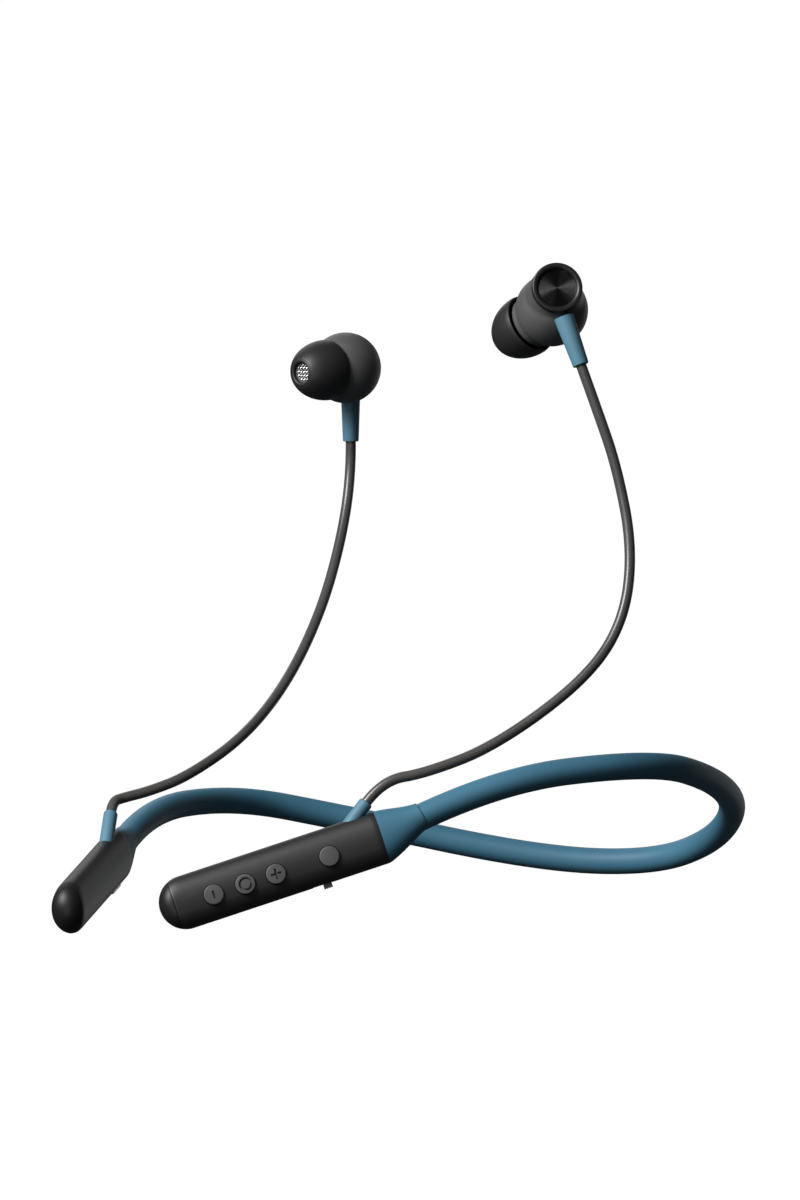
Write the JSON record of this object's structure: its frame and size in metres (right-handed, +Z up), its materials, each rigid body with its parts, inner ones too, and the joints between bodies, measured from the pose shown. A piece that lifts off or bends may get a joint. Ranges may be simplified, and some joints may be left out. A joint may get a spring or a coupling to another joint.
{
  "type": "neckband earphones",
  "caption": "Wireless neckband earphones: a curved silicone neckband with a slim control pod on each end, and a cabled in-ear bud hanging from each pod.",
  "frame": {"origin": "middle of the neckband's centreline at the back of the neck, where the band rests on the wearer", "axes": "+Z up, +Y to the back of the wearer, +X to the wearer's left; the pods point forward, along -Y, and down"},
  "size_m": [0.134, 0.1545, 0.1325],
  "materials": {
    "band_silicone": "smooth matte silicone, dusty steel blue",
    "case_plastic": "fine-textured matt black ABS",
    "cap_plastic": "satin black plastic",
    "button_rubber": "soft dark grey rubber",
    "cable_jacket": "satin black elastomer jacket",
    "tip_silicone": "soft black silicone",
    "disc_metal": "spun dark anodised aluminium",
    "mesh_metal": "woven stainless wire mesh",
    "spring_steel": "drawn spring wire",
    "port_metal": "stamped stainless shell",
    "magnet_metal": "nickel-plated magnet",
    "switch_metal": "stamped switch cover",
    "board_green": "solder-masked circuit board",
    "chip_black": "moulded chip package",
    "cell_foil": "laminated foil pouch",
    "foam": "closed-cell foam",
    "diaphragm_film": "thin polymer film"
  },
  "bodies": {
    "neckband": {"neckband_sleeve": "band_silicone", "memory_wire": "spring_steel", "neckband_lead": "cable_jacket"},
    "left_arm": {"left_collar": "band_silicone", "left_pod_shell": "case_plastic", "left_pod_cover": "case_plastic", "left_pod_end_cap": "cap_plastic", "left_cable_relief": "band_silicone", "left_ear_cable": "cable_jacket", "left_bud_relief": "band_silicone", "left_rear_housing": "case_plastic", "left_front_housing": "case_plastic", "left_nozzle_mesh": "mesh_metal", "left_cap_ring": "cap_plastic", "left_cap_disc": "disc_metal", "left_snap_magnet": "magnet_metal", "left_driver_frame": "chip_black", "left_driver_magnet": "magnet_metal", "left_diaphragm": "diaphragm_film", "power_switch": "switch_metal", "main_board": "board_green", "button_switches": "switch_metal", "radio_module": "chip_black", "microphone": "switch_metal", "board_screws": "spring_steel"},
    "right_arm": {"right_collar": "band_silicone", "right_pod_shell": "case_plastic", "right_pod_cover": "case_plastic", "right_pod_end_cap": "cap_plastic", "right_cable_relief": "band_silicone", "right_ear_cable": "cable_jacket", "right_bud_relief": "band_silicone", "right_rear_housing": "case_plastic", "right_front_housing": "case_plastic", "right_nozzle_mesh": "mesh_metal", "right_cap_ring": "cap_plastic", "right_cap_disc": "disc_metal", "right_snap_magnet": "magnet_metal", "right_driver_frame": "chip_black", "right_driver_magnet": "magnet_metal", "right_diaphragm": "diaphragm_film", "charging_port": "port_metal", "charging_board": "board_green", "battery_cell": "cell_foil", "battery_pad": "foam"},
    "left_ear_tip": {"left_ear_tip": "tip_silicone"},
    "right_ear_tip": {"right_ear_tip": "tip_silicone"},
    "power_switch_knob": {"power_switch_knob": "button_rubber"},
    "volume_down_button": {"volume_down_button": "button_rubber"},
    "multifunction_button": {"multifunction_button": "button_rubber"},
    "volume_up_button": {"volume_up_button": "button_rubber"},
    "mode_button": {"mode_button": "button_rubber"}
  },
  "joints": [
    {"name": "left_arm_flex", "type": "hinge", "parent": "neckband", "child": "left_arm", "pos_m": [0, 0, 0], "axis": [0, 0, 1], "range_deg": [-3, 20], "stiffness_Nm_per_rad": 0.35, "deforming": ["neckband_sleeve", "memory_wire", "neckband_lead"]},
    {"name": "right_arm_flex", "type": "hinge", "parent": "neckband", "child": "right_arm", "pos_m": [0, 0, 0], "axis": [0, 0, -1], "range_deg": [-3, 20], "stiffness_Nm_per_rad": 0.35},
    {"name": "power_switch_slide", "type": "slide", "parent": "left_arm", "child": "power_switch_knob", "axis": [-0.58, -0.75, -0.318], "range_m": [0, 0.002]},
    {"name": "volume_down_press", "type": "slide", "parent": "left_arm", "child": "volume_down_button", "axis": [-0.7911, 0.6117, 0], "range_m": [0, 0.0004], "stiffness_N_per_m": 900},
    {"name": "multifunction_press", "type": "slide", "parent": "left_arm", "child": "multifunction_button", "axis": [-0.7911, 0.6117, 0], "range_m": [0, 0.0004], "stiffness_N_per_m": 900},
    {"name": "volume_up_press", "type": "slide", "parent": "left_arm", "child": "volume_up_button", "axis": [-0.7911, 0.6117, 0], "range_m": [0, 0.0004], "stiffness_N_per_m": 900},
    {"name": "mode_press", "type": "slide", "parent": "left_arm", "child": "mode_button", "axis": [-0.7911, 0.6117, 0], "range_m": [0, 0.0004], "stiffness_N_per_m": 900},
    {"name": "left_ear_tip_pull", "type": "slide", "parent": "left_arm", "child": "left_ear_tip", "axis": [-0.9212, -0.1161, -0.3715], "range_m": [0, 0.008]},
    {"name": "right_ear_tip_pull", "type": "slide", "parent": "right_arm", "child": "right_ear_tip", "axis": [0.086, -0.9842, -0.155], "range_m": [0, 0.008]}
  ]
}
